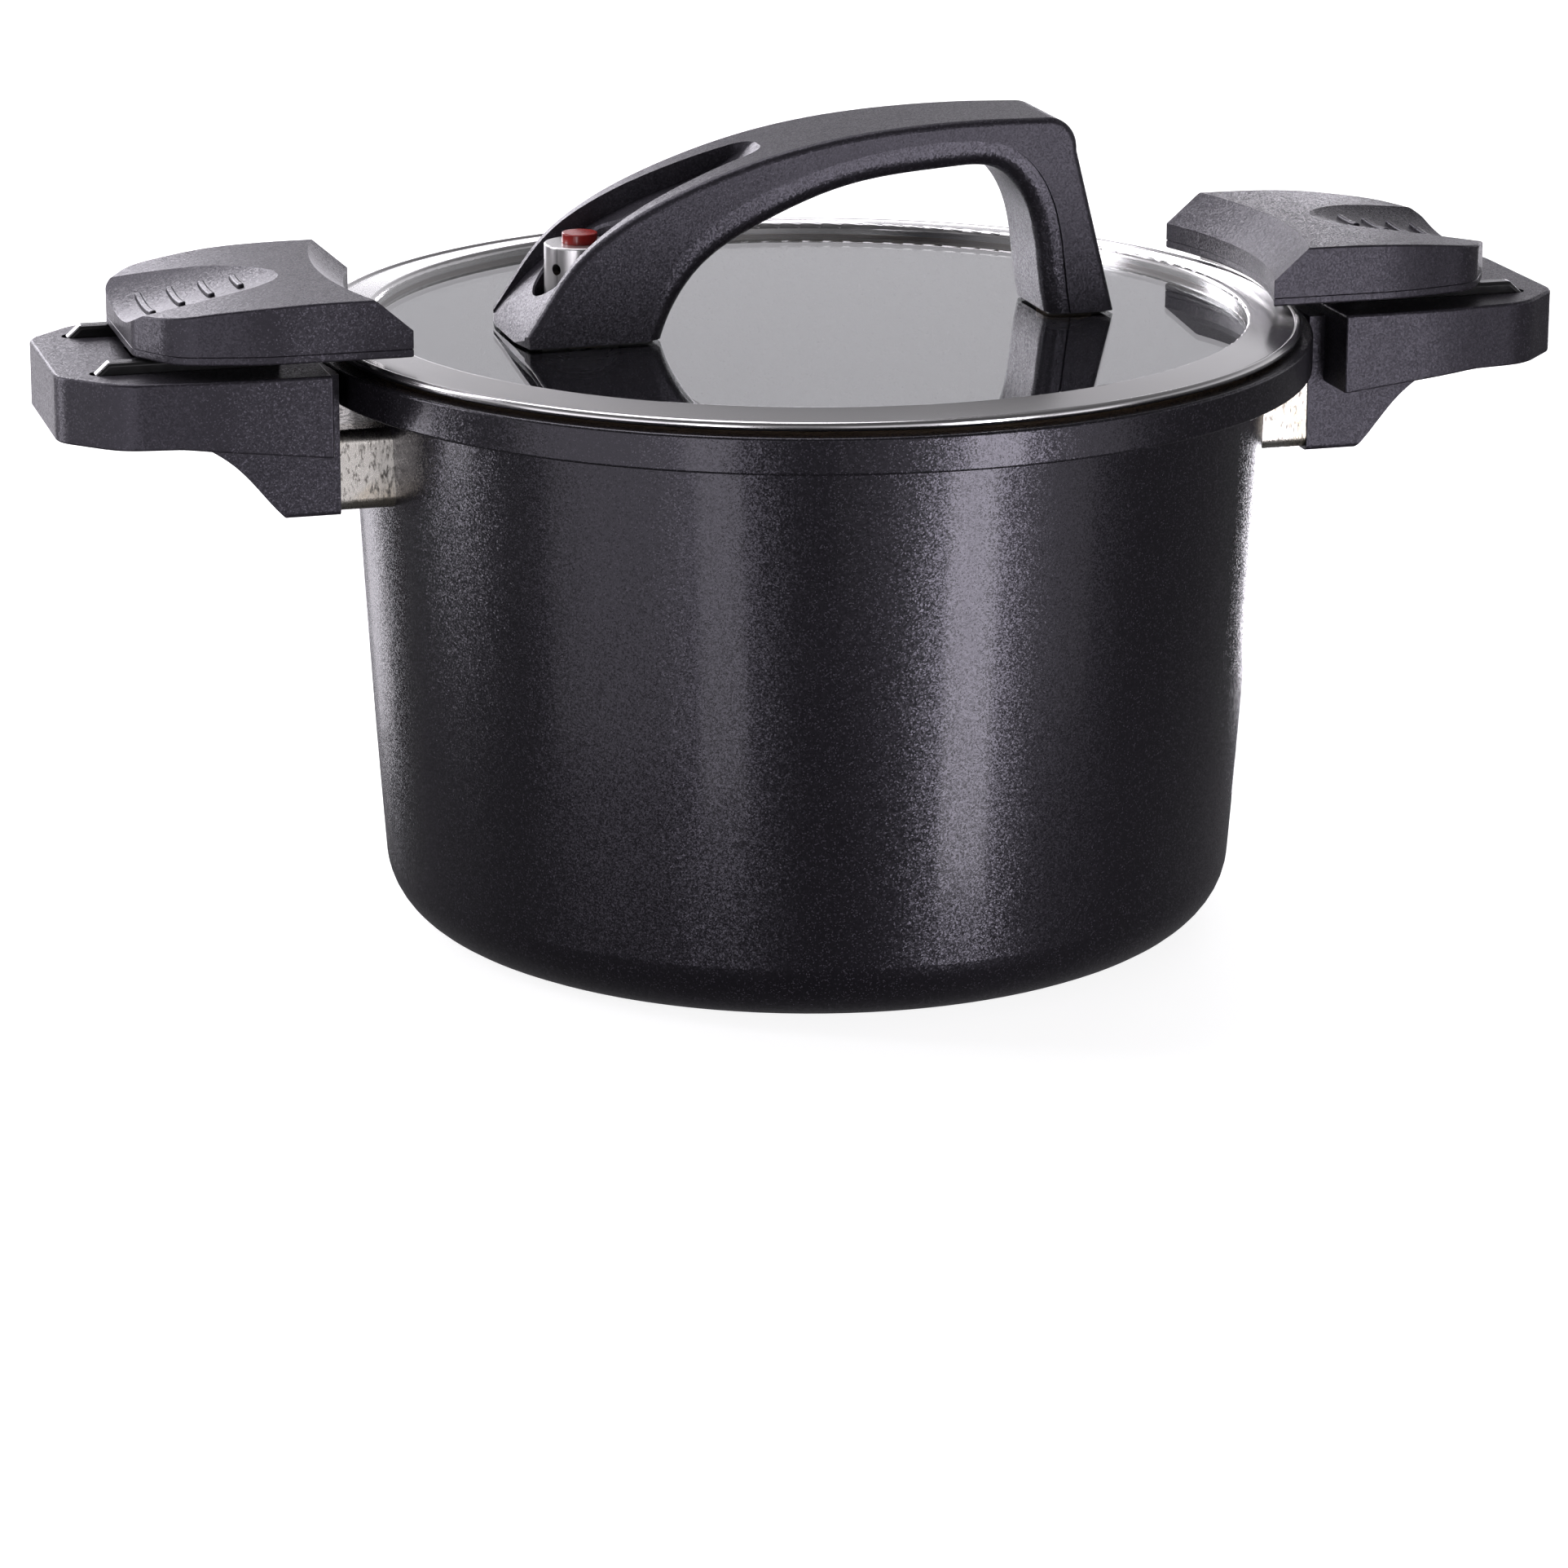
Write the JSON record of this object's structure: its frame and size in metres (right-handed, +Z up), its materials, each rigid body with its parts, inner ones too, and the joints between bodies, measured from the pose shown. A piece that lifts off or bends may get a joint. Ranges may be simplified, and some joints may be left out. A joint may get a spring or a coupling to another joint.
{
  "type": "stovetop pressure cooker",
  "caption": "Stovetop pressure cooker: dark cast pot, glass lid with steel ring, sliding side latches and an arched lid handle that holds a steam valve with a push button.",
  "frame": {"origin": "centre of the pot's base, on the surface it stands on", "axes": "+X along the two side grips, away from the lid's valve; +Z up"},
  "size_m": [0.388, 0.254, 0.2034],
  "materials": {
    "pot_coating": "dark sparkling non-stick coating on cast aluminium",
    "base_steel": "turned",
    "ring_steel": "polished",
    "ferrule_steel": "polished, fine scratches",
    "valve_steel": "turned",
    "fastener_steel": "plain",
    "handle_plastic": "matte with fine sparkle",
    "strip_plastic": "satin with fine sparkle",
    "rail_plastic": "glossy",
    "red_plastic": "glossy",
    "silicone": "matte",
    "foot_rubber": "matte",
    "lid_glass": "clear tempered"
  },
  "bodies": {
    "pot": {"pot_body": "pot_coating", "induction_disc": "base_steel", "left_ferrule": "ferrule_steel", "left_handle_screw": "fastener_steel", "left_grip_core": "handle_plastic", "left_grip_shell": "handle_plastic", "left_grip_screws": "fastener_steel", "left_guide_plate": "rail_plastic", "right_ferrule": "ferrule_steel", "right_handle_screw": "fastener_steel", "right_grip_core": "handle_plastic", "right_grip_shell": "handle_plastic", "right_grip_screws": "fastener_steel", "right_guide_plate": "rail_plastic"},
    "lid": {"lid_glass": "lid_glass", "lid_ring": "ring_steel", "lid_seal": "silicone", "lid_handle": "handle_plastic", "handle_underside": "strip_plastic", "front_foot_gasket": "foot_rubber", "rear_foot_gasket": "foot_rubber", "rear_foot_washers": "silicone", "rear_foot_screw": "fastener_steel", "valve_stem": "fastener_steel", "valve_cap": "valve_steel", "valve_nut": "fastener_steel", "valve_gasket": "silicone", "valve_spring": "fastener_steel"},
    "button": {"release_button": "red_plastic", "valve_poppet": "fastener_steel", "poppet_ring": "silicone"},
    "left_latch": {"left_latch_cover": "handle_plastic", "left_latch_base": "handle_plastic", "left_latch_jaw": "ring_steel", "left_jaw_rivets": "fastener_steel", "left_latch_screws": "fastener_steel", "left_latch_keeper": "fastener_steel", "left_keeper_screw": "fastener_steel", "left_detent_ball": "fastener_steel", "left_detent_spring": "fastener_steel"},
    "right_latch": {"right_latch_cover": "handle_plastic", "right_latch_base": "handle_plastic", "right_latch_jaw": "ring_steel", "right_jaw_rivets": "fastener_steel", "right_latch_screws": "fastener_steel", "right_latch_keeper": "fastener_steel", "right_keeper_screw": "fastener_steel", "right_detent_ball": "fastener_steel", "right_detent_spring": "fastener_steel"}
  },
  "joints": [
    {"name": "lid_lift", "type": "slide", "parent": "pot", "child": "lid", "axis": [0, 0, 1], "range_m": [0, 0.0014]},
    {"name": "left_latch_slide", "type": "slide", "parent": "pot", "child": "left_latch", "axis": [-1, 0, 0], "range_m": [0, 0.01]},
    {"name": "right_latch_slide", "type": "slide", "parent": "pot", "child": "right_latch", "axis": [1, 0, 0], "range_m": [0, 0.01]},
    {"name": "button_press", "type": "slide", "parent": "lid", "child": "button", "axis": [0, 0, -1], "range_m": [0, 0.0022], "stiffness_N_per_m": 900, "springref_m": -0.002, "deforming": ["valve_spring"]}
  ]
}
